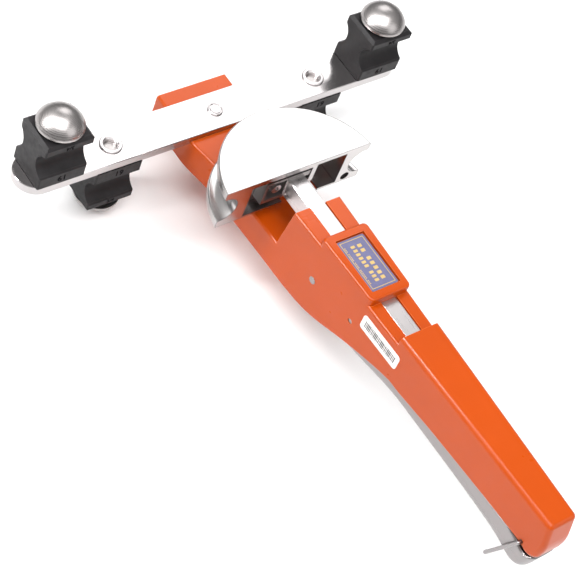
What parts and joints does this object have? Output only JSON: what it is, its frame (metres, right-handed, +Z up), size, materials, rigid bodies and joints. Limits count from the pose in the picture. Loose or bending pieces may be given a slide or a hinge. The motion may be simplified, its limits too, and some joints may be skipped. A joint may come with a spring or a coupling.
{
  "type": "ratchet tube bender",
  "caption": "Crossbow style ratchet tube bender: squeeze lever body, toothed rod with a half round former, crossbar with swivelling grooved guide blocks.",
  "frame": {"origin": "middle of the tool's footprint at the lowest point of the lower knobs", "axes": "+X along the crossbar, +Y along the tool from the grip towards the crossbar, +Z up, square to the crossbar's flat face"},
  "size_m": [0.2842, 0.3679, 0.1038],
  "materials": {
    "orange_paint": "gloss",
    "polished_steel": "polished",
    "bright_steel": "bright",
    "brushed_steel": "brushed",
    "satin_steel": "satin",
    "pin_steel": "satin",
    "spring_steel": "dull",
    "dark_steel": "dull",
    "polished_aluminium": "polished",
    "black_plastic": "moulded",
    "blue_plate": "satin",
    "label_film": "satin"
  },
  "bodies": {
    "tool_frame": {"tool_body": "orange_paint", "crossbar": "polished_steel", "crossbar_bolt": "bright_steel", "crossbar_nut": "bright_steel", "crossbar_nut_washer": "bright_steel", "name_plate": "blue_plate", "side_label": "label_film", "lever_pivot_pin": "pin_steel", "holding_pawl_pin": "pin_steel", "holding_pawl_spring": "spring_steel", "bush_upper_left": "bright_steel", "bush_lower_left": "bright_steel", "bush_upper_right": "bright_steel", "bush_lower_right": "bright_steel"},
    "rod_carriage": {"ratchet_rod": "polished_steel", "rod_stop_pin": "pin_steel", "rod_yoke": "dark_steel", "detent_ball": "bright_steel", "yoke_screw": "bright_steel"},
    "former": {"bending_former": "polished_aluminium"},
    "lever": {"squeeze_lever": "satin_steel", "drive_pawl_pin": "pin_steel", "drive_pawl_spring": "spring_steel", "lever_spring": "spring_steel"},
    "drive_pawl_body": {"drive_pawl": "dark_steel"},
    "holding_pawl_body": {"holding_pawl": "dark_steel"},
    "catch": {"wire_catch": "pin_steel"},
    "guide_upper_left": {"guide_block_upper_left": "black_plastic", "knob_washer_upper_left": "bright_steel"},
    "knob_body_upper_left": {"knob_upper_left": "brushed_steel"},
    "guide_lower_left": {"guide_block_lower_left": "black_plastic", "knob_washer_lower_left": "bright_steel"},
    "knob_body_lower_left": {"knob_lower_left": "brushed_steel"},
    "guide_upper_right": {"guide_block_upper_right": "black_plastic", "knob_washer_upper_right": "bright_steel"},
    "knob_body_upper_right": {"knob_upper_right": "brushed_steel"},
    "guide_lower_right": {"guide_block_lower_right": "black_plastic", "knob_washer_lower_right": "bright_steel"},
    "knob_body_lower_right": {"knob_lower_right": "brushed_steel"}
  },
  "joints": [
    {"name": "rod_feed", "type": "slide", "parent": "tool_frame", "child": "rod_carriage", "axis": [0, 1, 0], "range_m": [0, 0.09]},
    {"name": "former_lift_off", "type": "slide", "parent": "rod_carriage", "child": "former", "axis": [0, 1, 0], "range_m": [0, 0.03]},
    {"name": "lever_squeeze", "type": "hinge", "parent": "tool_frame", "child": "lever", "pos_m": [0, 0.0261, 0.054], "axis": [1, 0, 0], "range_deg": [0, 22]},
    {"name": "drive_pawl_click", "type": "hinge", "parent": "lever", "child": "drive_pawl_body", "pos_m": [0, 0.0195, 0.0594], "axis": [1, 0, 0], "range_deg": [-12, 0]},
    {"name": "holding_pawl_click", "type": "hinge", "parent": "tool_frame", "child": "holding_pawl_body", "pos_m": [0, -0.0094, 0.0586], "axis": [1, 0, 0], "range_deg": [-12, 0]},
    {"name": "catch_swing", "type": "hinge", "parent": "tool_frame", "child": "catch", "pos_m": [0, -0.1708, 0.0593], "axis": [1, 0, 0], "range_deg": [-105, 45]},
    {"name": "guide_swivel_upper_left", "type": "hinge", "parent": "tool_frame", "child": "guide_upper_left", "pos_m": [-0.1193, 0.1585, 0.0749], "axis": [0, 0, 1], "continuous": true},
    {"name": "knob_turn_upper_left", "type": "hinge", "parent": "tool_frame", "child": "knob_body_upper_left", "pos_m": [-0.1193, 0.1585, 0.0749], "axis": [0, 0, 1], "continuous": true},
    {"name": "guide_swivel_lower_left", "type": "hinge", "parent": "tool_frame", "child": "guide_lower_left", "pos_m": [-0.0764, 0.1585, 0.0289], "axis": [0, 0, 1], "continuous": true},
    {"name": "knob_turn_lower_left", "type": "hinge", "parent": "tool_frame", "child": "knob_body_lower_left", "pos_m": [-0.0764, 0.1585, 0.0289], "axis": [0, 0, 1], "continuous": true},
    {"name": "guide_swivel_upper_right", "type": "hinge", "parent": "tool_frame", "child": "guide_upper_right", "pos_m": [0.1193, 0.1585, 0.0749], "axis": [0, 0, 1], "continuous": true},
    {"name": "knob_turn_upper_right", "type": "hinge", "parent": "tool_frame", "child": "knob_body_upper_right", "pos_m": [0.1193, 0.1585, 0.0749], "axis": [0, 0, 1], "continuous": true},
    {"name": "guide_swivel_lower_right", "type": "hinge", "parent": "tool_frame", "child": "guide_lower_right", "pos_m": [0.0764, 0.1585, 0.0289], "axis": [0, 0, 1], "continuous": true},
    {"name": "knob_turn_lower_right", "type": "hinge", "parent": "tool_frame", "child": "knob_body_lower_right", "pos_m": [0.0764, 0.1585, 0.0289], "axis": [0, 0, 1], "continuous": true}
  ]
}
